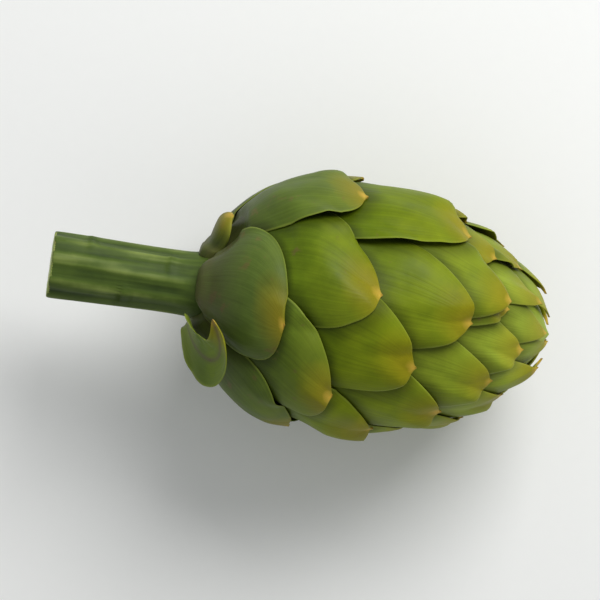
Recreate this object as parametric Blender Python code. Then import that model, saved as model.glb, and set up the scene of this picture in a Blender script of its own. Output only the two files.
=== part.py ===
"""A globe artichoke, lying on its side: one named solid for the stem with its heart, one for each bract and
one for the closed bud of young bracts inside. Metres, +Z up. The stem points to -X and the tip to +X, and the
head rests on the plane z = 0."""

import math

import bmesh
import bpy
import numpy as np
from mathutils import Matrix

MM = 0.001

# The head's outline is two halves of a superellipse that meet where the head is widest.
HEAD_RADIUS = 39.6 * MM
BASE_TO_WIDEST = 43.0 * MM
WIDEST_TO_TIP = 64.0 * MM
FULLNESS = 2.1  # 2 is an ellipse, and more is blunter

# The stem, and the heart that the bracts are rooted on.
STEM_RADIUS = 10.0 * MM
STEM_LENGTH = 42.0 * MM  # from the foot of the head to the cut
STEM_RIBS = 9
STEM_RIB_HEIGHT = 0.5 * MM
STEM_FLARE_LENGTH = 9.0 * MM
CUT_BEVEL = 0.8 * MM
HEART_HEIGHT = 24.0 * MM
CORE_TOP_INSET = 30.0 * MM  # the line that the layers lie along ends this far short of the tip
HEART_TOP_RADIUS = 15.0 * MM
HEART_DOME = 10.0 * MM

# The bracts stand in one spiral, oldest and lowest first.
BRACT_COUNT = 50
DIVERGENCE = math.radians(137.508)
FIRST_ANGLE = math.radians(-13.0)  # of the first full bract, from +Z towards +Y
FIRST_TIP = math.radians(64.0)  # where the tips lie along the outline: 0 is the foot, 180 degrees the tip
LAST_TIP = math.radians(176.5)
TIP_CROWDING = 0.7  # below 1, the lowest tips lie further apart
BRACT_HALF_ANGLE = math.radians(36.0)
LOWEST_HALF_ANGLE = math.radians(44.0)  # of the lowest row, which is wider
LOWEST_ROW = 3
OUTLINE_SIDE_POWER = 1.6  # the outline is |across| ** side + along ** tip = 1
OUTLINE_TIP_POWER = 4.8
POINT_WIDTH = 0.05  # of the bract's full width, at its point
POINT_LEAN = math.radians(-16.0)  # every point turns a little to one side
POINT_LEAN_POWER = 4.0
FOOT_THICKNESS = 1.5 * MM
POINT_THICKNESS = 1.0 * MM
EDGE_THICKNESS = 0.6 * MM
TIP_LIFT = 0.6 * MM  # how far a point stands off the head
TIP_LIFT_POWER = 7.0
CLEARANCE = 1.1 * MM
ROOT_ANGLE = math.radians(16.0)  # on the outline, where the bracts leave the heart

# Bracts that stand off the spiral: place in it, angle of the point, where the tip lies along the outline.
MOVED_BRACTS = {
    3: (math.radians(59.0), math.radians(90.0)),
    11: (math.radians(53.0), math.radians(121.0)),
    16: (math.radians(0.0), math.radians(124.0)),
    21: (math.radians(18.0), math.radians(137.0)),
    24: (math.radians(52.0), math.radians(134.5)),
}

# Small bracts under the head bend back: angle from +Z, lean of the point, where the tip lies, lift.
BASAL_BRACTS = {
    "basal_bract_under": (math.radians(157.0), math.radians(12.0), math.radians(33.0), 3.0 * MM),
    "basal_bract_side": (math.radians(72.0), math.radians(-8.0), math.radians(35.0), 3.5 * MM),
    "basal_bract_lower": (math.radians(-150.5), math.radians(-10.0), math.radians(42.0), 3.5 * MM),
}
BASAL_HALF_ANGLE = math.radians(22.0)
BASAL_LEAN_POWER = 2.0
BASAL_LIFT_POWER = 2.2

# One more basal bract is narrow and cupped. It stands out over the lowest row, and its point curls back.
CURLED_FOOT_ANGLE = math.radians(-64.0)
CURLED_POINT_ANGLE = math.radians(-16.0)
CURLED_REACH = math.radians(31.0)  # how far up the outline its middle gets
CURLED_SWEEP = math.radians(112.0)  # 90 degrees would end it there, and 180 would bring it all the way back
CURLED_STANDOFF = 2.2 * MM
CURLED_LIFT = 6.0 * MM
CURLED_HALF_WIDTH = 7.6 * MM
CURLED_CUP = 1.6 * MM  # how far its margins are raised
CURLED_THICKNESS = 1.3 * MM
CURLED_STEPS = (4, 12)

# How far the head is pressed flat where it rests.
REST_DEPTH = 1.0 * MM
REST_TILT = math.radians(4.5)  # the tip lies lower than the stem

# Mesh steps.
COVERED_PLATEAU = 1.12  # of the outline's measure: a bract keeps its room as far as this
COVERED_END = 2.9  # and the ones under it are back at the outline by here
OUTER_STEPS = (6, 10)  # across and along, on the bracts that show whole
INNER_STEPS = (4, 10)
LAST_OUTER_BRACT = 20
BASAL_STEPS = (4, 6)
ROW_CROWDING = 1.15  # rows stand closer towards the point
TURN_STEPS = 36  # around the stem and the bud
BUD_ROWS = 24

BRACT_GREEN = (0.20, 0.32, 0.07, 1.0)
BASAL_GREEN = (0.16, 0.25, 0.08, 1.0)
STEM_GREEN = (0.27, 0.36, 0.12, 1.0)
BUD_GREEN = (0.42, 0.48, 0.18, 1.0)


def clear_scene():
    for obj in list(bpy.data.objects):
        bpy.data.objects.remove(obj, do_unlink=True)


def new_material(name, colour, roughness):
    material = bpy.data.materials.new(name)
    material.use_nodes = True
    shader = material.node_tree.nodes["Principled BSDF"]
    shader.inputs["Base Color"].default_value = colour
    shader.inputs["Roughness"].default_value = roughness
    shader.inputs["Metallic"].default_value = 0.0
    return material


def outline(psi):
    """The head's outline at angle psi, 0 at the foot and pi at the tip: height along the axis, and radius."""
    cosine = np.cos(psi)
    reach = np.where(cosine > 0, BASE_TO_WIDEST, WIDEST_TO_TIP)
    height = BASE_TO_WIDEST - reach * np.sign(cosine) * np.abs(cosine) ** (2 / FULLNESS)
    return height, HEAD_RADIUS * np.abs(np.sin(psi)) ** (2 / FULLNESS)


def core(psi):
    """The line that depth is measured towards: a dome that stands on the rim of the heart."""
    share = np.clip((psi - ROOT_ANGLE) / (math.pi - ROOT_ANGLE), 0, 1)
    root_height = float(outline(ROOT_ANGLE)[0])
    foot, top = root_height + HEART_HEIGHT, BASE_TO_WIDEST + WIDEST_TO_TIP - CORE_TOP_INSET
    return foot + (top - foot) * share**1.2, HEART_TOP_RADIUS * np.sqrt(1 - share**2)


def depth_to_core(psi):
    (height, radius), (core_height, core_radius) = outline(psi), core(psi)
    return np.hypot(core_height - height, core_radius - radius)


def place(psi, angle, depth):
    """Points under the outline at psi, at an angle round the axis and a depth towards the core."""
    height, radius = outline(psi)
    core_height, core_radius = core(psi)
    length = depth_to_core(psi)
    height = height + depth * (core_height - height) / length
    radius = radius + depth * (core_radius - radius) / length
    return np.stack([height, radius * np.sin(angle), radius * np.cos(angle)], axis=-1)


class Bract:
    """One bract: where it stands in the spiral, how far it reaches, and how its point leans and lifts."""

    def __init__(self, name, angle, tip, half_angle, lean, lean_power, lift, lift_power, steps):
        self.name = name
        self.angle = angle
        self.tip = tip
        self.half_angle = half_angle
        self.lean = lean
        self.lean_power = lean_power
        self.lift = lift
        self.lift_power = lift_power
        self.steps = steps

    def centre(self, along):
        return self.angle + self.lean * along**self.lean_power

    def thickness(self, along):
        return FOOT_THICKNESS + (POINT_THICKNESS - FOOT_THICKNESS) * np.clip(along, 0, 1)

    def half_width(self, along):
        side = (1 - along**OUTLINE_TIP_POWER) ** (1 / OUTLINE_SIDE_POWER)
        return self.half_angle * (POINT_WIDTH + (1 - POINT_WIDTH) * side)

    def room(self, psi, angle):
        """The depth that this bract takes from the ones under it."""
        along = np.maximum((psi - ROOT_ANGLE) / (self.tip - ROOT_ANGLE), 0)
        across = (angle - self.centre(np.minimum(along, 1)) + math.pi) % (2 * math.pi) - math.pi
        reach = np.minimum(along, 1) ** OUTLINE_TIP_POWER + OUTLINE_TIP_POWER * np.maximum(along - 1, 0)
        measure = np.abs(across / self.half_angle) ** OUTLINE_SIDE_POWER + reach
        fade = np.clip((COVERED_END - measure) / (COVERED_END - COVERED_PLATEAU), 0, 1)
        return (self.thickness(along) + CLEARANCE) * fade**2 * (3 - 2 * fade)


def spiral():
    """Every bract, oldest first."""
    bracts = [
        Bract(name, angle, tip, BASAL_HALF_ANGLE, lean, BASAL_LEAN_POWER, lift, BASAL_LIFT_POWER, BASAL_STEPS)
        for name, (angle, lean, tip, lift) in BASAL_BRACTS.items()
    ]
    for k in range(BRACT_COUNT):
        tip = FIRST_TIP + (LAST_TIP - FIRST_TIP) * (k / (BRACT_COUNT - 1)) ** TIP_CROWDING
        angle, tip = MOVED_BRACTS.get(k, (FIRST_ANGLE + k * DIVERGENCE, tip))
        half_angle = LOWEST_HALF_ANGLE if k < LOWEST_ROW else BRACT_HALF_ANGLE
        steps = OUTER_STEPS if k < LAST_OUTER_BRACT else INNER_STEPS
        base_angle, name = angle - POINT_LEAN, f"bract_{k + 1:02d}"
        bracts.append(
            Bract(name, base_angle, tip, half_angle, POINT_LEAN, POINT_LEAN_POWER, TIP_LIFT, TIP_LIFT_POWER, steps)
        )
    return bracts


def depth_under(older, psi, angle):
    """How far below the outline the bracts in older push whatever lies under them."""
    return sum((bract.room(psi, angle) for bract in older), np.zeros(np.broadcast(psi, angle).shape))


def root_share(bract, older):
    """How far along its line a bract is rooted: the younger ones stand higher on the heart."""
    across = np.linspace(-1, 1, 9)
    for share in np.linspace(0, 0.9, 46):
        psi = ROOT_ANGLE + (bract.tip - ROOT_ANGLE) * share
        angle = bract.centre(share) + across * bract.half_width(share)
        deepest = depth_under(older, psi, angle).max() + bract.thickness(share) + CLEARANCE
        if deepest < depth_to_core(psi):
            return share
    raise ValueError(f"{bract.name} has no room left on the heart")


def bract_surfaces(bract, older):
    """The outer and inner faces as two grids of points, across by along."""
    columns, rows = bract.steps
    across = np.linspace(-1, 1, columns + 1)[:, None]
    root = root_share(bract, older)
    along = root + (1 - root) * (1 - (1 - np.linspace(0, 1, rows + 1)) ** ROW_CROWDING)[None, :]
    psi = ROOT_ANGLE + (bract.tip - ROOT_ANGLE) * along + 0 * across
    angle = bract.centre(along) + across * bract.half_width(along)
    thick = bract.thickness(along)
    top = depth_under(older, psi, angle) - bract.lift * along**bract.lift_power
    outer = top + (thick - EDGE_THICKNESS) * across**2
    return place(psi, angle, outer), place(psi, angle, top + thick + 0 * across)


def grid_in(bm, points, flip):
    """Adds a grid of points as faces, and returns its boundary edges."""
    made = bmesh.ops.create_grid(bm, x_segments=points.shape[0] - 1, y_segments=points.shape[1] - 1, size=1)
    verts = sorted(made["verts"], key=lambda v: (round(v.co.x, 4), round(v.co.y, 4)))
    for vert, point in zip(verts, points.reshape(-1, 3)):
        vert.co = point
    faces = list({face for vert in verts for face in vert.link_faces})
    if flip:
        bmesh.ops.reverse_faces(bm, faces=faces)
    return [edge for edge in {e for face in faces for e in face.edges} if edge.is_boundary]


def add_object(name, bm, material, smooth=True):
    mesh = bpy.data.meshes.new(name)
    bmesh.ops.recalc_face_normals(bm, faces=bm.faces)
    bm.to_mesh(mesh)
    bm.free()
    mesh.materials.append(material)
    if smooth:
        mesh.shade_smooth()
        mesh.set_sharp_from_angle(angle=math.radians(50))
    obj = bpy.data.objects.new(name, mesh)
    bpy.context.scene.collection.objects.link(obj)
    return obj


def make_bract(bract, older, material):
    outer, inner = bract_surfaces(bract, older)
    bm = bmesh.new()
    rim = grid_in(bm, outer, False) + grid_in(bm, inner, True)
    bmesh.ops.bridge_loops(bm, edges=rim)
    return add_object(bract.name, bm, material)


def curled_frame(along):
    """The middle line of the curled bract, and its sideways and outward directions, each as rows of vectors."""

    def middle(t, out=0.0):
        psi = ROOT_ANGLE + CURLED_REACH * np.sin(CURLED_SWEEP * t)
        angle = CURLED_FOOT_ANGLE + (CURLED_POINT_ANGLE - CURLED_FOOT_ANGLE) * np.abs(t) ** 1.3
        return place(psi, angle, -(CURLED_STANDOFF + CURLED_LIFT * t**2 + out))

    def unit(vectors):
        return vectors / np.linalg.norm(vectors, axis=-1, keepdims=True)

    forward = unit(middle(along + 0.01) - middle(along - 0.01))
    sideways = unit(np.cross(forward, middle(along, 1 * MM) - middle(along)))
    return middle(along), sideways, np.cross(sideways, forward)


def make_curled_bract(material):
    columns, rows = CURLED_STEPS
    across = np.linspace(-1, 1, columns + 1)[:, None, None]
    along = np.linspace(0, 1, rows + 1)
    middle, sideways, outward = curled_frame(along)
    width = (CURLED_HALF_WIDTH * (0.08 + 0.92 * np.sin(math.pi * (0.18 + 0.82 * along)) ** 0.8))[None, :, None]
    half_thick = CURLED_THICKNESS / 2 * (1 - 0.4 * across**2)
    leaf = middle + sideways * width * across + outward * CURLED_CUP * across**2 * (width / CURLED_HALF_WIDTH)
    bm = bmesh.new()
    rim = grid_in(bm, leaf + outward * half_thick, False) + grid_in(bm, leaf - outward * half_thick, True)
    bmesh.ops.bridge_loops(bm, edges=rim)
    return add_object("basal_bract_curled", bm, material)


def turned(name, profile, material, ribs=0, rib_height=0.0, rib_end=0.0):
    """A solid turned about the X axis from (height, radius) points. Its sides are ribbed as far as rib_end."""
    bm = bmesh.new()
    rings = []
    for height, radius in profile:
        ring = []
        for i in range(TURN_STEPS):
            angle = 2 * math.pi * i / TURN_STEPS
            wave = rib_height * math.cos(ribs * angle) * (height < rib_end)
            size = radius + wave
            ring.append(bm.verts.new((height, size * math.sin(angle), size * math.cos(angle))))
        rings.append(ring)
    for low, high in zip(rings, rings[1:]):
        for i in range(TURN_STEPS):
            j = (i + 1) % TURN_STEPS
            bm.faces.new((low[i], low[j], high[j], high[i]))
    bm.faces.new(rings[0])
    bm.faces.new(rings[-1])
    return add_object(name, bm, material)


def make_stem(material):
    """The stem and the heart are one piece: the stem flares into the heart, and the roots stand round it."""
    foot_height, foot_radius = (float(v) for v in outline(ROOT_ANGLE))
    side = foot_radius - CLEARANCE
    cut, neck = -STEM_LENGTH, foot_height - STEM_FLARE_LENGTH
    profile = [
        (cut, STEM_RADIUS - CUT_BEVEL),
        (cut + CUT_BEVEL, STEM_RADIUS),
        (cut * 0.66, STEM_RADIUS),
        (cut * 0.4, STEM_RADIUS),
        (neck, STEM_RADIUS),
        (neck + STEM_FLARE_LENGTH * 0.5, STEM_RADIUS + (side - STEM_RADIUS) * 0.3),
        (foot_height, side),
        (foot_height + HEART_HEIGHT, HEART_TOP_RADIUS - CLEARANCE),
        (foot_height + HEART_HEIGHT + HEART_DOME * 0.6, HEART_TOP_RADIUS * 0.8),
        (foot_height + HEART_HEIGHT + HEART_DOME, HEART_TOP_RADIUS * 0.5),
    ]
    return turned("stem_and_heart", profile, material, STEM_RIBS, STEM_RIB_HEIGHT, neck)


def make_bud(bracts, material):
    """The closed bud fills what the bracts leave, above the heart."""
    turn = np.linspace(0, 2 * math.pi, 90)
    profile = []
    for psi in np.linspace(ROOT_ANGLE, math.pi - math.radians(3.0), BUD_ROWS):
        depth = depth_under(bracts, psi, turn).max() + CLEARANCE
        if depth < depth_to_core(psi):
            height, _, radius = place(np.array(psi), 0.0, np.array(depth))
            profile.append((float(height), float(radius)))
    return turned("inner_bud", profile, material)


def press_flat(objects, floor):
    """Cuts the lowest bracts level where the head rests."""
    bm = bmesh.new()
    bmesh.ops.create_cube(bm, size=1)
    size = 4 * (BASE_TO_WIDEST + WIDEST_TO_TIP)
    bmesh.ops.scale(bm, vec=(size, size, size), verts=bm.verts)
    bmesh.ops.translate(bm, vec=(0, 0, floor - size / 2), verts=bm.verts)
    cutter = add_object("rest_cutter", bm, bpy.data.materials["bract"], smooth=False)
    cutter.hide_render = True
    cutter.display_type = "WIRE"
    for obj in objects:
        if min(vert.co.z for vert in obj.data.vertices) < floor:
            cut = obj.modifiers.new("rest", "BOOLEAN")
            cut.operation = "DIFFERENCE"
            cut.solver = "EXACT"
            cut.object = cutter
    return cutter


def main():
    clear_scene()
    bract_material = new_material("bract", BRACT_GREEN, 0.45)
    basal_material = new_material("basal_bract", BASAL_GREEN, 0.5)
    bracts = spiral()
    objects = [make_stem(new_material("stem", STEM_GREEN, 0.5))]
    for i, bract in enumerate(bracts):
        material = basal_material if bract.name.startswith("basal") else bract_material
        objects.append(make_bract(bract, bracts[:i], material))
    objects.append(make_curled_bract(basal_material))
    objects.append(make_bud(bracts, new_material("inner_bud", BUD_GREEN, 0.5)))
    for obj in objects:
        obj.data.transform(Matrix.Rotation(REST_TILT, 4, "Y"))
    lowest = min(vert.co.z for obj in objects for vert in obj.data.vertices)
    floor = lowest + REST_DEPTH
    cutter = press_flat(objects, floor)
    low_x = min(vert.co.x for obj in objects for vert in obj.data.vertices)
    high_x = max(vert.co.x for obj in objects for vert in obj.data.vertices)
    low_y = min(vert.co.y for obj in objects for vert in obj.data.vertices)
    high_y = max(vert.co.y for obj in objects for vert in obj.data.vertices)
    to_frame = Matrix.Translation((-(low_x + high_x) / 2, -(low_y + high_y) / 2, -floor))
    for obj in [*objects, cutter]:
        obj.data.transform(to_frame)


main()
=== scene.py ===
import math

import bpy
import numpy as np
from mathutils import Matrix, Vector, noise


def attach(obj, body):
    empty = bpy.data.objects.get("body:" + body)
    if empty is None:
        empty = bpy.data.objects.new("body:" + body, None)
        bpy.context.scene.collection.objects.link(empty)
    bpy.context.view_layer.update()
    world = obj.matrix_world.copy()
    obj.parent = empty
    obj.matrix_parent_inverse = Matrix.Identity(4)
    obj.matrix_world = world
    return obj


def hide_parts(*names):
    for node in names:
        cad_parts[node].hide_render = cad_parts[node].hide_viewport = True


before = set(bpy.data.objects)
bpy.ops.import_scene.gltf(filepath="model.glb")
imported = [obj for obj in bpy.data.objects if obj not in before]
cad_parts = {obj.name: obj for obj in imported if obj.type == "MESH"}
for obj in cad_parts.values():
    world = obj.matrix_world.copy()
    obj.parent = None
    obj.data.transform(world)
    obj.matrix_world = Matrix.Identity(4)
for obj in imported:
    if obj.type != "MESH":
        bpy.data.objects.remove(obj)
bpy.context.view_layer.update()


# The stem, with the heart on its end: a stout green stalk with blunt ribs, and crescent scars where leaves
# broke off. A knife cut it square, which shows its pale pith. It is extruded ring by ring from the cut, flares
# under the head, and runs on inside as the heart, the solid cushion that every bract is rooted on.
STEM_RADIUS = 0.0100
STEM_LENGTH = 0.0420
STEM_RIBS = 9
STEM_RIB_HEIGHT = 0.0004
STEM_GRAIN_HEIGHT = 0.00018
SAW_MARKS, SAW_DEPTH = 0.00025, 0.0015  # how rough the cut is, and how far in that reaches
STEM_SCARS = [(-0.031, 1.1), (-0.020, -0.7), (-0.012, 2.6), (-0.026, -2.5), (-0.008, 0.6)]  # place, angle
SCAR_HEIGHT, SCAR_LENGTH, SCAR_HALF_ANGLE = 0.0006, 0.0016, 0.42
STEM_RINGS = [  # distance along from the cut, and radius there
    (0.0010, 0.0100), (0.0060, 0.0100), (0.0140, 0.0098), (0.0220, 0.0096), (0.0300, 0.0095),
    (0.0360, 0.0095), (0.0400, 0.0098), (0.0430, 0.0103), (0.0455, 0.0110), (0.0520, 0.0116),
    (0.0620, 0.0124), (0.0670, 0.0126), (0.0720, 0.0105), (0.0750, 0.0070),
]
REST_TILT = math.radians(4.5)  # the tip lies lower than the stem
AXIS = Vector((math.cos(REST_TILT), 0, -math.sin(REST_TILT)))


def cut_end_centre():
    """Where the stem is cut, at the middle of its end."""
    corners = [vert.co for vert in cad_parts["stem_and_heart"].data.vertices]
    first = min(corner.dot(AXIS) for corner in corners)
    rim = [corner for corner in corners if corner.dot(AXIS) < first + 0.0001]
    return Vector([(min(c[i] for c in rim) + max(c[i] for c in rim)) / 2 for i in range(3)])


HEAD_FOOT = cut_end_centre() + AXIS * STEM_LENGTH
LIE_DOWN = Matrix.Translation(HEAD_FOOT) @ Matrix.Rotation(REST_TILT, 4, "Y")


def start_afresh():
    if bpy.context.object and bpy.context.object.mode == "EDIT":
        bpy.ops.object.mode_set(mode="OBJECT")
    bpy.ops.object.select_all(action="DESELECT")


def apply_modifier(piece, kind, **settings):
    bpy.context.view_layer.objects.active = piece
    modifier = piece.modifiers.new(kind.title(), kind)
    for name, value in settings.items():
        setattr(modifier, name, value)
    bpy.ops.object.modifier_apply(modifier=modifier.name)


def srgb(hex_colour):
    shares = [int(hex_colour[i:i + 2], 16) / 255 for i in (1, 3, 5)]
    return [s / 12.92 if s < 0.04045 else ((s + 0.055) / 1.055) ** 2.4 for s in shares] + [1.0]


def add(tree, kind, inputs=None, **settings):
    """Adds a node with its settings, and links or sets its inputs."""
    made = tree.nodes.new(kind)
    for name, value in settings.items():
        setattr(made, name, value)
    for socket, value in (inputs or {}).items():
        if isinstance(value, bpy.types.NodeSocket):
            tree.links.new(value, made.inputs[socket])
        else:
            made.inputs[socket].default_value = value
    return made


def new_skin(name, roughness, specular, subsurface):
    material = bpy.data.materials.new(name)
    material.use_nodes = True
    shader = material.node_tree.nodes["Principled BSDF"]
    shader.inputs["Roughness"].default_value = roughness
    shader.inputs["Specular IOR Level"].default_value = specular
    shader.inputs["IOR"].default_value = 1.42
    shader.inputs["Subsurface Weight"].default_value = subsurface
    shader.inputs["Subsurface Radius"].default_value = (0.6, 1.0, 0.25)
    shader.inputs["Subsurface Scale"].default_value = 0.0012
    return material, material.node_tree, shader


start_afresh()
bpy.ops.mesh.primitive_circle_add(vertices=72, radius=STEM_RADIUS * 0.94, fill_type="NGON",
                                  rotation=(0, math.pi / 2, 0))
stem = bpy.context.object
stem.name = "stem"
bpy.ops.object.transform_apply(location=True, rotation=True, scale=True)
bpy.ops.object.mode_set(mode="EDIT")
bpy.ops.mesh.select_all(action="SELECT")
reached, radius = 0.0, STEM_RADIUS * 0.94
for distance, next_radius in STEM_RINGS:
    bpy.ops.mesh.extrude_region_move(TRANSFORM_OT_translate={"value": (distance - reached, 0, 0)})
    grown = next_radius / radius
    bpy.ops.transform.resize(value=(1, grown, grown), center_override=(distance, 0, 0))
    reached, radius = distance, next_radius
bpy.ops.mesh.select_all(action="SELECT")
bpy.ops.mesh.normals_make_consistent(inside=False)
bpy.ops.object.mode_set(mode="OBJECT")
for face in stem.data.polygons:
    face.select = face.normal.x < -0.9 and face.center.x < 0.0005
bpy.ops.object.mode_set(mode="EDIT")
bpy.ops.mesh.select_mode(type="FACE")
CUT_RINGS = [  # how far in each ring of the cut lies from the last, and how far out it stands
    (0.0009, 0.0001), (0.0014, -0.0005), (0.0018, -0.0003), (0.0018, -0.0001), (0.0016, 0.0002)]
for inward, outward in CUT_RINGS:
    bpy.ops.mesh.inset(thickness=inward, depth=outward)
bpy.ops.mesh.poke()
bpy.ops.object.mode_set(mode="OBJECT")
apply_modifier(stem, "SUBSURF", levels=2, render_levels=2)
rib_shade = stem.data.attributes.new("rib", "FLOAT", "POINT")
for vert in stem.data.vertices:
    x, y, z = vert.co.x - STEM_LENGTH, vert.co.y, vert.co.z
    out = math.hypot(y, z)
    angle = math.atan2(y, z)
    wander = 0.35 * noise.noise(Vector((x * 30, math.sin(angle), math.cos(angle))))
    rib = math.cos(STEM_RIBS * (angle + 6.0 * x) + wander * 3)
    fine = noise.noise(Vector((x * 40, 7 * math.sin(angle), 7 * math.cos(angle))))
    fade = min(1.0, max(0.0, -x / 0.006)) * min(1.0, out / STEM_RADIUS) ** 2
    lump = 0.0
    for scar_x, scar_angle in STEM_SCARS:
        off = (angle - scar_angle + math.pi) % (2 * math.pi) - math.pi
        along = (x - scar_x - 0.0012 * off**2) / SCAR_LENGTH
        ridge = math.exp(-along**2 if along > 0 else -(along * 2.6) ** 2)
        lump += SCAR_HEIGHT * ridge * math.exp(-(off / SCAR_HALF_ANGLE) ** 4)
    swell = fade * (STEM_RIB_HEIGHT * rib + STEM_GRAIN_HEIGHT * fine + lump)
    rough = noise.noise(Vector((0, y * 420, z * 420)))
    sawn = max(0.0, 1 - (x + STEM_LENGTH) / SAW_DEPTH) * SAW_MARKS * rough
    widen = 1 + swell / max(out, 0.001)
    vert.co = (x + sawn, y * widen, z * widen)
    rib_shade.data[vert.index].value = 0.5 + 0.35 * rib * fade + 0.3 * fine - 260 * lump
stem.data.transform(LIE_DOWN)
bpy.ops.object.shade_smooth()

# Artichoke stalk: a thin green rind over long fibres, matt, dull yellow green on its ribs and darker between
# them. The fibres are under a millimetre apart, and run straight along.
stalk_rind, tree, shader = new_skin("stalk_rind", 0.55, 0.25, 0.05)
place = add(tree, "ShaderNodeTexCoord").outputs["Object"]
turned = add(tree, "ShaderNodeMapping", {"Vector": place, "Rotation": (0, -REST_TILT, 0)}).outputs["Vector"]
fibre_space = add(tree, "ShaderNodeMapping", {"Vector": turned, "Scale": (60, 1400, 1400)}).outputs["Vector"]
fibres = add(tree, "ShaderNodeTexNoise", {"Vector": fibre_space, "Scale": 1.0, "Detail": 3.0}).outputs["Fac"]
patches = add(tree, "ShaderNodeTexNoise", {"Vector": turned, "Scale": 110.0, "Detail": 4.0}).outputs["Fac"]
rib = add(tree, "ShaderNodeAttribute", attribute_name="rib").outputs["Fac"]
blend = add(tree, "ShaderNodeMath", {0: patches, 1: rib}, operation="ADD").outputs[0]
blend = add(tree, "ShaderNodeMath", {0: blend, 1: 0.55, 2: -0.12}, operation="MULTIPLY_ADD").outputs[0]
greens = add(tree, "ShaderNodeValToRGB", {"Fac": blend})
greens.color_ramp.elements[0].color = srgb("#2b3c14")
greens.color_ramp.elements[0].position = 0.1
greens.color_ramp.elements[1].color = srgb("#8b9850")
greens.color_ramp.elements[1].position = 0.9
greens.color_ramp.elements.new(0.5).color = srgb("#4d6020")
fibre_shade = add(tree, "ShaderNodeMapRange", {0: fibres, 1: 0.3, 2: 0.7, 3: 0.88, 4: 1.08}).outputs[0]
rind = add(tree, "ShaderNodeMix", {0: 1.0, 6: greens.outputs["Color"], 7: fibre_shade}, data_type="RGBA",
           blend_type="MULTIPLY").outputs[2]
tree.links.new(rind, shader.inputs["Base Color"])
relief = add(tree, "ShaderNodeBump", {"Height": fibres, "Strength": 0.5, "Distance": 0.00012})
tree.links.new(relief.outputs["Normal"], shader.inputs["Normal"])
stem.data.materials.append(stalk_rind)

# Cut pith: pale, spongy and damp, nearly white green in the middle. Bundles of fibres stand in it as darker
# dots about 1 mm apart, and it dries brown at the rim.
cut_pith, tree, shader = new_skin("cut_pith", 0.6, 0.3, 0.15)
place = add(tree, "ShaderNodeTexCoord").outputs["Object"]
cut = HEAD_FOOT - AXIS * STEM_LENGTH
from_middle = add(tree, "ShaderNodeVectorMath", {0: place, 1: cut}, operation="SUBTRACT")
distance = add(tree, "ShaderNodeVectorMath", {0: from_middle.outputs[0]}, operation="LENGTH").outputs["Value"]
rough_edge = add(tree, "ShaderNodeTexNoise", {"Vector": place, "Scale": 420.0, "Detail": 4.0}).outputs["Fac"]
ring = add(tree, "ShaderNodeMath", {0: rough_edge, 1: 0.0022, 2: distance}, operation="MULTIPLY_ADD")
rings = add(tree, "ShaderNodeMapRange", {0: ring.outputs[0], 1: 0.002, 2: 0.0112}).outputs[0]
pith = add(tree, "ShaderNodeValToRGB", {"Fac": rings})
pith.color_ramp.elements[0].color = srgb("#c9cf9a")
pith.color_ramp.elements[1].color = srgb("#77703a")
pith.color_ramp.elements[1].position = 0.97
pith.color_ramp.elements.new(0.55).color = srgb("#b9c484")
pith.color_ramp.elements.new(0.86).color = srgb("#93a356")
dots = add(tree, "ShaderNodeTexVoronoi", {"Vector": place, "Scale": 900.0}).outputs["Distance"]
dot_shade = add(tree, "ShaderNodeMapRange", {0: dots, 1: 0.1, 2: 0.38, 3: 0.74, 4: 1.0}).outputs[0]
pith_colour = add(tree, "ShaderNodeMix", {0: 1.0, 6: pith.outputs["Color"], 7: dot_shade}, data_type="RGBA",
                  blend_type="MULTIPLY").outputs[2]
tree.links.new(pith_colour, shader.inputs["Base Color"])
relief = add(tree, "ShaderNodeBump", {"Height": dots, "Strength": 0.6, "Distance": 0.0003}).outputs["Normal"]
tree.links.new(relief, shader.inputs["Normal"])
stem.data.materials.append(cut_pith)
for face in stem.data.polygons:
    off = Vector(face.center) - cut
    if off.dot(AXIS) < 0.0012 and (off - AXIS * off.dot(AXIS)).length < STEM_RADIUS * 0.93:
        face.material_index = 1
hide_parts("stem_and_heart")
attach(stem, "root")


# The bracts, oldest and lowest first. Each is one tough scale, fleshy at its foot and thin at its margin, and
# its blunt point carries a thorn under a millimetre long. One is modelled flat. Every other is a copy, cut off
# at its root and bent round the head, over the younger bracts and under the older ones.
HEAD_RADIUS = 0.0396
BASE_TO_WIDEST = 0.0430
WIDEST_TO_TIP = 0.0640
FULLNESS = 2.1
ROOT_ANGLE = math.radians(16.0)
HEART_HEIGHT = 0.0240
HEART_TOP_RADIUS = 0.0150
CORE_TOP_INSET = 0.0300
BRACT_COUNT = 50
DIVERGENCE = math.radians(137.508)
FIRST_ANGLE = math.radians(-13.0)
FIRST_TIP = math.radians(64.0)
LAST_TIP = math.radians(176.5)
TIP_CROWDING = 0.7
HALF_ANGLE = math.radians(36.0)
LOWEST_HALF_ANGLE = math.radians(44.0)
LOWEST_ROW = 3
SIDE_POWER, POINT_POWER = 1.6, 4.8  # a bract's outline is |across| ** side + along ** point = 1
COVERED_PLATEAU, COVERED_END = 1.12, 2.9  # how far past its outline a bract presses on those under it
POINT_WIDTH = 0.05  # of the bract's width, where the thorn stands
POINT_LEAN = math.radians(-16.0)  # every point turns a little to one side
MOVED_BRACTS = {  # those off the spiral: angle round the head, and how far up its outline the tip is
    3: (math.radians(59.0), math.radians(90.0)),
    11: (math.radians(53.0), math.radians(121.0)),
    16: (math.radians(0.0), math.radians(124.0)),
    21: (math.radians(18.0), math.radians(137.0)),
    24: (math.radians(52.0), math.radians(134.5)),
}
FOOT_THICKNESS = 0.0015
POINT_THICKNESS = 0.0010
MARGIN_THICKNESS = 0.00035
CLEARANCE = 0.0011
CLOSENESS = 0.85  # real layers touch, so they are pressed closer than solids that must keep clear
NEXT_BRACTS = 21  # how many younger bracts one can come down on
NEXT_END, NEXT_SOFTNESS = 1.05, 0.25  # where a younger bract stops holding a margin up, and how gradually
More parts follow.
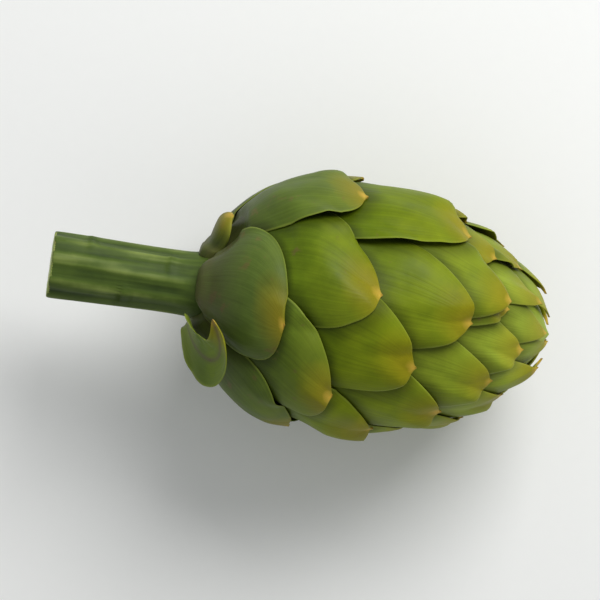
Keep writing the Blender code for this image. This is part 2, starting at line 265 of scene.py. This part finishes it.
DEEPEST_HUG = 0.0056  # a margin comes down no further than this


def outline(psi):
    """The head's outline at angle psi, 0 at the foot and pi at the tip: height along the axis, and radius."""
    cosine = np.cos(psi)
    reach = np.where(cosine > 0, BASE_TO_WIDEST, WIDEST_TO_TIP)
    height = BASE_TO_WIDEST - reach * np.sign(cosine) * np.abs(cosine) ** (2 / FULLNESS)
    return height, HEAD_RADIUS * np.abs(np.sin(psi)) ** (2 / FULLNESS)


def core(psi):
    """The line that the layers are pressed towards: a dome on the rim of the heart."""
    share = np.clip((psi - ROOT_ANGLE) / (math.pi - ROOT_ANGLE), 0, 1)
    foot = float(outline(ROOT_ANGLE)[0]) + HEART_HEIGHT
    top = BASE_TO_WIDEST + WIDEST_TO_TIP - CORE_TOP_INSET
    return foot + (top - foot) * share**1.2, HEART_TOP_RADIUS * np.sqrt(1 - share**2)


def under_outline(psi, angle, depth):
    """Points under the outline at psi, at an angle round the axis and a depth towards the core."""
    (height, radius), (core_height, core_radius) = outline(psi), core(psi)
    share = depth / np.hypot(core_height - height, core_radius - radius)
    height = height + share * (core_height - height)
    radius = radius + share * (core_radius - radius)
    return np.stack([height, radius * np.sin(angle), radius * np.cos(angle)], axis=-1)


def bract_thickness(along):
    return FOOT_THICKNESS + (POINT_THICKNESS - FOOT_THICKNESS) * np.clip(along, 0, 1)


def bract_width(along):
    body = (1 - np.clip(along, 0, 1) ** POINT_POWER) ** (1 / SIDE_POWER)
    return POINT_WIDTH + (1 - POINT_WIDTH) * body


def bract_centre(bract, along):
    return bract["angle"] + bract["lean"] * np.minimum(along, 1) ** bract["lean_power"]


def bract_measure(bract, psi, angle):
    """How far up the bract a place is, and its measure: under 1 on the bract, over 1 past its outline."""
    along = np.maximum((psi - ROOT_ANGLE) / (bract["tip"] - ROOT_ANGLE), 0)
    across = (angle - bract_centre(bract, along) + math.pi) % (2 * math.pi) - math.pi
    reach = np.minimum(along, 1) ** POINT_POWER + POINT_POWER * np.maximum(along - 1, 0)
    return along, np.abs(across / bract["half_angle"]) ** SIDE_POWER + reach


def room(bract, psi, angle):
    """The depth that one bract takes from those under it."""
    along, measure = bract_measure(bract, psi, angle)
    fade = np.clip((COVERED_END - measure) / (COVERED_END - COVERED_PLATEAU), 0, 1)
    return (bract_thickness(along) + CLEARANCE) * fade**2 * (3 - 2 * fade)


def depth_under(older, psi, angle):
    return sum((room(bract, psi, angle) for bract in older), np.zeros(np.shape(psi)))


def depth_to_next(bract, younger, psi, angle):
    """How far under a bract the first younger one lies, softly from one to the next."""
    depth = room(bract, psi, angle)
    open_share, settled = np.ones(np.shape(psi)), np.zeros(np.shape(psi))
    for other in younger[:NEXT_BRACTS]:
        covered = open_share * np.clip((NEXT_END - bract_measure(other, psi, angle)[1]) / NEXT_SOFTNESS, 0, 1)
        settled = settled + covered * np.minimum(depth, DEEPEST_HUG)
        open_share = open_share - covered
        depth = depth + room(other, psi, angle)
    return CLOSENESS * (settled + open_share * room(bract, psi, angle))


def root_share(bract, older):
    """How far along its line a bract is rooted: the younger ones stand higher on the heart."""
    for share in np.linspace(0, 0.9, 46):
        psi = np.full(9, ROOT_ANGLE + (bract["tip"] - ROOT_ANGLE) * share)
        across = np.linspace(-1, 1, 9) * bract["half_angle"] * bract_width(share)
        angle = bract_centre(bract, share) + across
        (height, radius), (core_height, core_radius) = outline(psi), core(psi)
        free = np.hypot(core_height - height, core_radius - radius) - depth_under(older, psi, angle)
        if free.min() > bract_thickness(share) + CLEARANCE:
            return float(share)


# One flat bract: X is across it in half widths, Y along it from root to point, and Z into the head. A grid is
# drawn in to the outline row by row, and its point is drawn out into the thorn. Then it gets its thickness.
FLAT_COLUMNS, FLAT_ROWS = 20, 32
THORN_LENGTH = 0.011  # of the bract's length
start_afresh()
bpy.ops.mesh.primitive_grid_add(x_subdivisions=FLAT_COLUMNS, y_subdivisions=FLAT_ROWS, size=2)
flat_bract = bpy.context.object
flat_bract.name = "flat_bract"
for vert in flat_bract.data.vertices:
    along = 1 - (1 - (vert.co.y + 1) / 2) ** 1.3
    vert.co = (vert.co.x * float(bract_width(along)), along, 0)
for vert in flat_bract.data.vertices:
    vert.select = vert.co.y > 0.9999
for edge in flat_bract.data.edges:
    edge.select = all(flat_bract.data.vertices[i].select for i in edge.vertices)
for face in flat_bract.data.polygons:
    face.select = False
bpy.ops.object.mode_set(mode="EDIT")
bpy.ops.mesh.select_mode(type="EDGE")
for reach, narrower in ((0.45, 0.5), (0.35, 0.5), (0.2, 0.35)):
    bpy.ops.mesh.extrude_region_move(TRANSFORM_OT_translate={"value": (0, THORN_LENGTH * reach, 0)})
    bpy.ops.transform.resize(value=(narrower, 1, 1), center_override=(0, 1, 0))
bpy.ops.object.mode_set(mode="OBJECT")
flesh = flat_bract.vertex_groups.new(name="flesh")
for vert in flat_bract.data.vertices:
    along = min(vert.co.y, 1.0)
    share = abs(vert.co.x) / float(bract_width(along))
    body = (1 - share**3) * (1 - 0.55 * along**3) if vert.co.y < 1 else 0.25
    flesh.add([vert.index], 0.22 + 0.78 * max(0.0, body), "REPLACE")
FLESH = 0.0016  # thickest, by the root
apply_modifier(flat_bract, "SOLIDIFY", thickness=FLESH, offset=-1, vertex_group="flesh")
apply_modifier(flat_bract, "SUBSURF", levels=1, render_levels=1)
flat_bract.hide_render = True

# Bract skin: thick waxy leaf, olive green and satin, with a thin dusty bloom. Fine veins about a millimetre
# apart run from root to point. The margin is paler, the point is dry and ochre, and old bracts are duller and
# scuffed. The seam where one bract comes out from under another is darkened with painted shade.
VEINS_ACROSS = 46
MOTTLE_SIZE = 0.008
SCUFF_SCALE = 170.0  # a scuff is about 6 mm across
bract_skin, tree, shader = new_skin("bract_skin", 0.48, 0.15, 0.04)
place = add(tree, "ShaderNodeTexCoord").outputs["Object"]
on_bract = add(tree, "ShaderNodeUVMap", uv_map="UVMap").outputs["UV"]
along = add(tree, "ShaderNodeSeparateXYZ", {0: on_bract}).outputs["Y"]
youth = add(tree, "ShaderNodeAttribute", attribute_name="youth").outputs["Fac"]
tint = add(tree, "ShaderNodeAttribute", attribute_name="tint").outputs["Fac"]
margin = add(tree, "ShaderNodeAttribute", attribute_name="margin_mm").outputs["Fac"]
to_point = add(tree, "ShaderNodeAttribute", attribute_name="point_mm").outputs["Fac"]
mottle = add(tree, "ShaderNodeTexNoise", {"Vector": place, "Scale": 1 / MOTTLE_SIZE, "Detail": 3.0})
mottle = mottle.outputs["Fac"]
speck = add(tree, "ShaderNodeTexNoise", {"Vector": place, "Scale": 900.0, "Detail": 4.0}).outputs["Fac"]
vein_space = add(tree, "ShaderNodeMapping", {"Vector": on_bract, "Scale": (VEINS_ACROSS, 2.2, 1)})
veins = add(tree, "ShaderNodeTexNoise", {"Vector": vein_space.outputs["Vector"], "Scale": 1.0, "Detail": 2.0})
veins = veins.outputs["Fac"]
height = add(tree, "ShaderNodeMath", {0: mottle, 1: 0.25, 2: along}, operation="MULTIPLY_ADD").outputs[0]
height = add(tree, "ShaderNodeMapRange", {0: height, 1: 0.1, 2: 1.2}).outputs[0]
greens = add(tree, "ShaderNodeValToRGB", {"Fac": height})
greens.color_ramp.interpolation = "EASE"
greens.color_ramp.elements[0].color = srgb("#6c7c2a")
greens.color_ramp.elements[1].color = srgb("#868a14")
for spot, colour in ((0.35, "#4a6004"), (0.62, "#5a6e04"), (0.85, "#6e7c0a")):
    greens.color_ramp.elements.new(spot).color = srgb(colour)
old_share = add(tree, "ShaderNodeMapRange", {0: youth, 1: 0.0, 2: 0.2, 3: 0.75, 4: 0.0}).outputs[0]
aged = add(tree, "ShaderNodeMix", {0: old_share, 6: greens.outputs["Color"], 7: srgb("#4c5d2e")},
           data_type="RGBA").outputs[2]
young_share = add(tree, "ShaderNodeMapRange", {0: youth, 1: 0.25, 2: 1.0, 3: 0.0, 4: 0.8}).outputs[0]
aged = add(tree, "ShaderNodeMix", {0: young_share, 6: aged, 7: srgb("#94a53c")}, data_type="RGBA").outputs[2]
vein_shade = add(tree, "ShaderNodeMapRange", {0: veins, 1: 0.3, 2: 0.7, 3: 0.88, 4: 1.10}).outputs[0]
tint_shade = add(tree, "ShaderNodeMapRange", {0: tint, 3: 0.88, 4: 1.12}).outputs[0]
shade = add(tree, "ShaderNodeMath", {0: vein_shade, 1: tint_shade}, operation="MULTIPLY").outputs[0]
patch_shade = add(tree, "ShaderNodeMapRange", {0: mottle, 1: 0.3, 2: 0.7, 3: 0.86, 4: 1.12}).outputs[0]
shade = add(tree, "ShaderNodeMath", {0: shade, 1: patch_shade}, operation="MULTIPLY").outputs[0]
# Painted shade: the skin is darkened in the seam where a bract comes out from under an older one.
free_of_painted_shade = add(tree, "ShaderNodeAttribute", attribute_name="free_of_painted_shade").outputs["Fac"]
painted_seam_shade = add(tree, "ShaderNodeMapRange", {0: free_of_painted_shade, 3: 0.5, 4: 1.06}, interpolation_type="SMOOTHSTEP")
shade = add(tree, "ShaderNodeMath", {0: shade, 1: painted_seam_shade.outputs[0]}, operation="MULTIPLY").outputs[0]
veined_and_painted_shade = add(tree, "ShaderNodeMix", {0: 1.0, 6: aged, 7: shade}, data_type="RGBA",
             blend_type="MULTIPLY").outputs[2]
scuff = add(tree, "ShaderNodeTexNoise", {"Vector": place, "Scale": SCUFF_SCALE, "Detail": 6.0,
                                         "Roughness": 0.65}).outputs["Fac"]
scuffed = add(tree, "ShaderNodeMath", {0: old_share, 1: 0.10, 2: scuff}, operation="MULTIPLY_ADD").outputs[0]
scuffed = add(tree, "ShaderNodeMapRange", {0: scuffed, 1: 0.66, 2: 0.74, 3: 0.0, 4: 0.55}).outputs[0]
skin = add(tree, "ShaderNodeMix", {0: scuffed, 6: veined_and_painted_shade, 7: srgb("#6b5a34")}, data_type="RGBA").outputs[2]
edge = add(tree, "ShaderNodeMath", {0: mottle, 1: 1.2, 2: margin}, operation="MULTIPLY_ADD").outputs[0]
pale_edge = add(tree, "ShaderNodeMapRange", {0: edge, 1: 0.75, 2: 1.5, 3: 0.45, 4: 0.0}).outputs[0]
skin = add(tree, "ShaderNodeMix", {0: pale_edge, 6: skin, 7: srgb("#93a03e")}, data_type="RGBA").outputs[2]
point = add(tree, "ShaderNodeMath", {0: mottle, 1: -5.0, 2: to_point}, operation="MULTIPLY_ADD").outputs[0]
warm = add(tree, "ShaderNodeMapRange", {0: point, 1: 0.0, 2: 10.0, 3: 0.62, 4: 0.0}).outputs[0]
skin = add(tree, "ShaderNodeMix", {0: warm, 6: skin, 7: srgb("#8c7a0e")}, data_type="RGBA").outputs[2]
dry = add(tree, "ShaderNodeMapRange", {0: point, 1: -2.4, 2: -0.2, 3: 0.8, 4: 0.0}).outputs[0]
skin = add(tree, "ShaderNodeMix", {0: dry, 6: skin, 7: srgb("#c6a23e")}, data_type="RGBA").outputs[2]
blush = add(tree, "ShaderNodeAttribute", attribute_name="blush").outputs["Fac"]
blush = add(tree, "ShaderNodeMath", {0: blush, 1: scuff}, operation="MULTIPLY").outputs[0]
skin = add(tree, "ShaderNodeMix", {0: blush, 6: skin, 7: srgb("#5b4a3c")}, data_type="RGBA").outputs[2]
thorn = add(tree, "ShaderNodeMapRange", {0: along, 1: 1.002, 2: 1.014, 3: 0.0, 4: 0.8}).outputs[0]
skin = add(tree, "ShaderNodeMix", {0: thorn, 6: skin, 7: srgb("#6b4a1e")}, data_type="RGBA").outputs[2]
tree.links.new(skin, shader.inputs["Base Color"])
bloom = add(tree, "ShaderNodeMapRange", {0: mottle, 1: 0.3, 2: 0.7, 3: 0.40, 4: 0.54}).outputs[0]
tree.links.new(bloom, shader.inputs["Roughness"])
grain = add(tree, "ShaderNodeMath", {0: speck, 1: 0.35, 2: veins}, operation="MULTIPLY_ADD").outputs[0]
relief = add(tree, "ShaderNodeBump", {"Height": grain, "Strength": 0.5, "Distance": 0.00015})
tree.links.new(relief.outputs["Normal"], shader.inputs["Normal"])

PAINTED_SHADE_REACH = 0.45  # how far past an older bract's outline the one under it still gets painted shade
SHOULDER_BULGE = 0.0014  # the lowest bracts swell back over the stem
ROOT_TUCK = math.radians(4.0)  # and their roots turn in under it
REST_SETTLE = 0.0013  # how far the lowest bracts give where the head lies on them
SETTLE_BELOW = 0.014
SWELL, SWELL_SCALE = 0.0005, 75  # slow unevenness of a bract's face, and the finer one on it
PUCKER, PUCKER_SCALE = 0.00012, 190
MARGIN_CURLS = {3: (0.0022, 0.62), 11: (0.0020, 0.55)}  # height of the curled margin, and where it starts
LIFT_POWER = 2.2  # the small bracts stand out mostly at their points


def copy_flat_bract(name, root):
    """A copy of the flat bract, cut off at its root, and where its corners lie."""
    start_afresh()
    piece = flat_bract.copy()
    piece.data = flat_bract.data.copy()
    piece.name = name
    piece.hide_render = False
    bpy.context.collection.objects.link(piece)
    piece.select_set(True)
    bpy.context.view_layer.objects.active = piece
    bpy.ops.object.mode_set(mode="EDIT")
    bpy.ops.mesh.select_mode(type="VERT")
    bpy.ops.mesh.select_all(action="SELECT")
    bpy.ops.mesh.bisect(plane_co=(0, root, 0), plane_no=(0, 1, 0), use_fill=True, clear_inner=True)
    bpy.ops.object.mode_set(mode="OBJECT")
    flat = np.empty(len(piece.data.vertices) * 3)
    piece.data.vertices.foreach_get("co", flat)
    return piece, *flat.reshape(-1, 3).T


def bend_bract(name, bract, older, younger, curl=(0.0, 1.0)):
    """Bends a copy of the flat bract round the head, over the younger bracts and under the older ones."""
    root = root_share(bract, older)
    piece, across, along, outward = copy_flat_bract(name, root)
    width = bract_width(along)
    share = np.clip(np.abs(across) / width, 0, 1)
    psi = ROOT_ANGLE + (bract["tip"] - ROOT_ANGLE) * along
    angle = bract_centre(bract, along) - across * bract["half_angle"]
    length = HEAD_RADIUS * 1.25 * (bract["tip"] - ROOT_ANGLE)
    side_gap = (width - np.abs(across)) * bract["half_angle"] * outline(np.minimum(psi, 3.1))[1]
    margin_mm = 1000 * np.clip(np.minimum(side_gap, (1 - along) * length), 0, 0.02)
    sideways = across * bract["half_angle"] * outline(np.minimum(psi, 3.1))[1]
    point_mm = 1000 * np.clip(np.hypot(sideways, (1 - along) * length), 0, 0.05)
    hug = 1 - (1 - share**4) * (1 - np.clip(along, 0, 1) ** 7)
    drop = depth_to_next(bract, younger, np.minimum(psi, math.pi), angle) - MARGIN_THICKNESS
    shoulder = SHOULDER_BULGE * max(0.0, 1 - root / 0.1) * np.exp(-((along - 0.04) / 0.09) ** 2)
    psi = psi - ROOT_TUCK * np.clip(1 - along / 0.05, 0, 1) * (root == 0)
    curl_height, curl_start = curl
    curled = np.clip((along - curl_start) / 0.2, 0, 1) * np.clip((1.0 - along) / 0.1, 0, 1)
    curled = curl_height * curled * np.clip(across / width, 0, 1) ** 6
    depth = CLOSENESS * depth_under(older, np.minimum(psi, math.pi), angle)
    depth = depth + hug * drop - outward - curled - shoulder
    depth = depth - bract["lift"] * np.clip(along, 0, 1.03) ** LIFT_POWER
    points = under_outline(np.minimum(psi, math.pi), angle, depth)
    for i, point in enumerate(points):
        place = Vector(point)
        swell = noise.noise(place * SWELL_SCALE) * SWELL
        pucker = noise.noise(place * PUCKER_SCALE + Vector((bract["angle"], 0, 0))) * PUCKER
        from_axis = point - np.array([point[0], 0, 0])
        points[i] = point + from_axis / max(1e-6, math.hypot(point[1], point[2])) * (swell + pucker)
    piece.data.vertices.foreach_set("co", points.ravel())
    grey = np.clip(1 - bract["youth"] / 0.12, 0, 1) * np.clip(1 - along / 0.65, 0, 1)
    # Painted shade: how far each place lies past the older bracts' outlines, so that the seam under them is
    # darkened.
    over = [bract_measure(other, psi, angle)[1] - 1 for other in older]
    free_of_painted_shade = np.clip(np.min(over, axis=0) / PAINTED_SHADE_REACH, 0, 1) if over else 1.0
    clothe(piece, np.clip(across / width, -1, 1), along, margin_mm, point_mm, bract["youth"], bract["tint"],
           grey, free_of_painted_shade)
    return piece


def clothe(piece, share, along, margin_mm, point_mm, youth, tint, blush, free_of_painted_shade=1.0):
    """Gives a bract what its skin is coloured by, lays it down with the head and rests it on the floor."""
    flat = np.empty(len(piece.data.vertices) * 3)
    # The last of these attributes carries the painted seam shade.
    for label, values in (("margin_mm", margin_mm), ("point_mm", point_mm), ("youth", youth), ("tint", tint),
                          ("blush", blush), ("free_of_painted_shade", free_of_painted_shade)):
        values = np.broadcast_to(values, len(along))
        piece.data.attributes.new(label, "FLOAT", "POINT").data.foreach_set("value", values)
    corners = np.empty(len(piece.data.loops), dtype=int)
    piece.data.loops.foreach_get("vertex_index", corners)
    on_bract = np.stack([share / 2 + 0.5, along], axis=1)
    piece.data.uv_layers["UVMap"].data.foreach_set("uv", on_bract[corners].ravel())
    piece.vertex_groups.clear()
    piece.data.transform(LIE_DOWN)
    piece.data.vertices.foreach_get("co", flat)
    low = np.clip((SETTLE_BELOW - flat[2::3]) / (SETTLE_BELOW - 0.001), 0, 1)
    sunk = flat[2::3] - REST_SETTLE * low**2
    flat[2::3] = np.maximum(sunk, 0.0)
    piece.data.vertices.foreach_set("co", flat)
    piece.data.materials.append(bract_skin)
    bpy.ops.object.shade_smooth()
    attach(piece, "root")


BASAL_HALF_ANGLE = math.radians(22.0)
BASAL_BRACTS = {  # small bracts under the head: angle, lean of the point, reach, lift
    "basal_bract_under": (157.0, 12.0, 33.0, 0.0030),
    "basal_bract_side": (72.0, -8.0, 35.0, 0.0035),
    "basal_bract_lower": (-150.5, -10.0, 42.0, 0.0035),
}
bracts = []
for k in range(BRACT_COUNT):
    tip = FIRST_TIP + (LAST_TIP - FIRST_TIP) * (k / (BRACT_COUNT - 1)) ** TIP_CROWDING
    angle, tip = MOVED_BRACTS.get(k, (FIRST_ANGLE + k * DIVERGENCE, tip))
    bracts.append({"angle": angle - POINT_LEAN, "lean": POINT_LEAN, "lean_power": 4.0, "tip": tip,
                   "lift": 0.0, "half_angle": LOWEST_HALF_ANGLE if k < LOWEST_ROW else HALF_ANGLE,
                   "youth": k / BRACT_COUNT, "tint": (0.5 + 0.618 * k) % 1})
older = []
for i, (name, (angle, lean, tip, lift)) in enumerate(BASAL_BRACTS.items()):
    bract = {"angle": math.radians(angle), "lean": math.radians(lean), "lean_power": 2.0,
             "tip": math.radians(tip), "lift": lift, "half_angle": BASAL_HALF_ANGLE,
             "youth": 0.0, "tint": (0.3 + 0.618 * i) % 1}
    piece = bend_bract(name + "_leaf", bract, older, bracts)
    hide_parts(name)
    older.append(bract)

# One more basal bract is narrow and cupped. It stands out over the lowest row, and its point curls back.
CURLED_FOOT_ANGLE, CURLED_POINT_ANGLE = math.radians(-64.0), math.radians(-16.0)
CURLED_REACH = math.radians(31.0)
CURLED_SWEEP = math.radians(112.0)
CURLED_STANDOFF, CURLED_LIFT = 0.0022, 0.0060
CURLED_HALF_WIDTH, CURLED_CUP = 0.0076, 0.0020


def curled_middle(along, out=0.0):
    psi = ROOT_ANGLE + CURLED_REACH * np.sin(CURLED_SWEEP * along)
    angle = CURLED_FOOT_ANGLE + (CURLED_POINT_ANGLE - CURLED_FOOT_ANGLE) * np.abs(along) ** 1.3
    return under_outline(psi, angle, -(CURLED_STANDOFF + CURLED_LIFT * along**2 + out))


def unit(vectors):
    return vectors / np.linalg.norm(vectors, axis=-1, keepdims=True)


piece, across, along, outward = copy_flat_bract("basal_bract_curled_leaf", 0.0)
share = np.clip(across / bract_width(along), -1, 1)
on_line = np.clip(along, 0, 1.02)
forward = unit(curled_middle(on_line + 0.01) - curled_middle(on_line - 0.01))
sideways = unit(np.cross(forward, curled_middle(on_line, 0.001) - curled_middle(on_line)))
up = np.cross(sideways, forward)
belly = np.clip(np.sin(math.pi * (0.18 + 0.82 * on_line)), 0, 1)
half_width = CURLED_HALF_WIDTH * (0.08 + 0.92 * belly**0.8)
ripple = np.array([noise.noise(Vector((s * 2, a * 9, 3))) for s, a in zip(share, along)]) * 0.0006
height = CURLED_CUP * share**2 * half_width / CURLED_HALF_WIDTH + outward * 0.6 + 0.0005 + ripple * share**2
points = curled_middle(on_line) + sideways * (-share * half_width)[:, None] + up * height[:, None]
piece.data.vertices.foreach_set("co", points.ravel())
clothe(piece, share, along, 1000 * half_width * (1 - np.abs(share)), 44 * np.abs(1 - along), 0.30, 1.0,
       1.1 * np.exp(-(share * half_width / 0.0008) ** 2))
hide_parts("basal_bract_curled")

for k, bract in enumerate(bracts):
    curl = MARGIN_CURLS.get(k, (0.0, 1.0))
    piece = bend_bract(f"bract_{k + 1:02d}_leaf", bract, older, bracts[k + 1:], curl)
    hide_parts(f"bract_{k + 1:02d}")
    older.append(bract)
bpy.data.objects.remove(flat_bract, do_unlink=True)


# The bud: the closed dome of the youngest bracts, pale and folded over the choke. A sphere is drawn out to fill
# what the bracts leave free, and only its tip could ever show.
start_afresh()
BUD_RINGS, BUD_SIDES = 24, 48
bpy.ops.mesh.primitive_uv_sphere_add(segments=BUD_SIDES, ring_count=BUD_RINGS, radius=1)
bud = bpy.context.object
bud.name = "bud"
BUD_GAP = 0.0004
turn = np.linspace(0, 2 * math.pi, 90)
rows = []
for psi in np.linspace(ROOT_ANGLE, math.pi - math.radians(3.0), 60):
    depth = CLOSENESS * depth_under(older, np.full(len(turn), psi), turn).max() + BUD_GAP
    (height, radius), (core_height, core_radius) = outline(psi), core(psi)
    if depth < math.hypot(core_height - height, core_radius - radius):
        x, _, z = under_outline(np.array(psi), 0.0, np.array(depth))
        rows.append((float(x), float(z)))
rows = sorted(rows)
low, high = rows[0][0] - 0.004, rows[-1][0] + 0.0015
for vert in bud.data.vertices:
    share = (1 - vert.co.z) / 2
    x = high + (low - high) * share
    turned_angle = math.atan2(vert.co.y, vert.co.x)
    wide = float(np.interp(x, [low, *[row[0] for row in rows], high], [0, *[row[1] for row in rows], 0]))
    wide *= 1 + 0.04 * math.cos(5 * turned_angle + 400 * x)
    vert.co = (x, wide * math.sin(turned_angle), wide * math.cos(turned_angle))
bpy.ops.object.mode_set(mode="EDIT")
bpy.ops.mesh.select_all(action="SELECT")
bpy.ops.mesh.remove_doubles(threshold=0.00001)
bpy.ops.mesh.normals_make_consistent(inside=False)
bpy.ops.object.mode_set(mode="OBJECT")
for label, value in (("margin_mm", 9.0), ("point_mm", 20.0), ("youth", 1.0), ("tint", 0.7), ("blush", 0.0),
                     ("free_of_painted_shade", 1.0)):
    values = [value] * len(bud.data.vertices)
    bud.data.attributes.new(label, "FLOAT", "POINT").data.foreach_set("value", values)
bud.data.transform(LIE_DOWN)
bpy.ops.object.shade_smooth()
bud.data.materials.append(bract_skin)
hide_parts("inner_bud")
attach(bud, "root")


# The floor is a wide matt paper sheet with a faint grain. The light is one big soft lamp above and to the side,
# a weak one in front, and pale air all round.
start_afresh()
bpy.ops.mesh.primitive_plane_add(size=6, location=(0, 0, -0.0002))
floor = bpy.context.object
floor.name = "floor"
paper, tree, shader = new_skin("backdrop_paper", 0.9, 0.1, 0.0)
place = add(tree, "ShaderNodeTexCoord").outputs["Object"]
paper_grain = add(tree, "ShaderNodeTexNoise", {"Vector": place, "Scale": 300.0})
paper_shade = add(tree, "ShaderNodeMapRange", {0: paper_grain.outputs["Fac"], 3: 0.985, 4: 1.0}).outputs[0]
paper_colour = add(tree, "ShaderNodeMix", {0: 1.0, 6: srgb("#f3f3f1"), 7: paper_shade}, data_type="RGBA",
                   blend_type="MULTIPLY").outputs[2]
tree.links.new(paper_colour, shader.inputs["Base Color"])
floor.data.materials.append(paper)


def add_softbox(name, location, size, power, aim=(0, 0, 0.03)):
    lamp = bpy.data.lights.new(name, "AREA")
    lamp.shape = "RECTANGLE"
    lamp.size, lamp.size_y = size
    lamp.energy = power
    lamp_object = bpy.data.objects.new(name, lamp)
    lamp_object.location = location
    lamp_object.rotation_euler = (Vector(aim) - Vector(location)).to_track_quat("-Z", "Y").to_euler()
    bpy.context.scene.collection.objects.link(lamp_object)


add_softbox("key", (0.30, 0.68, 0.74), (0.7, 0.5), 9.6)
add_softbox("front", (0.1, -0.6, 0.9), (0.9, 0.6), 0.5)
world = bpy.data.worlds.new("pale_air")
world.use_nodes = True
world.node_tree.nodes["Background"].inputs["Color"].default_value = srgb("#eef1f2")
world.node_tree.nodes["Background"].inputs["Strength"].default_value = 0.44
bpy.context.scene.world = world
bpy.context.scene.view_settings.view_transform = "Standard"

# The camera looks straight down on the artichoke, turned so that its axis runs down to the right.
CAMERA_HEIGHT = 1.24
camera = bpy.data.objects.new("camera", bpy.data.cameras.new("camera"))
camera.data.lens = 252
camera.location = (0, 0, CAMERA_HEIGHT)
camera.rotation_euler = (0, 0, math.radians(8.0))
bpy.context.scene.collection.objects.link(camera)
bpy.context.scene.camera = camera
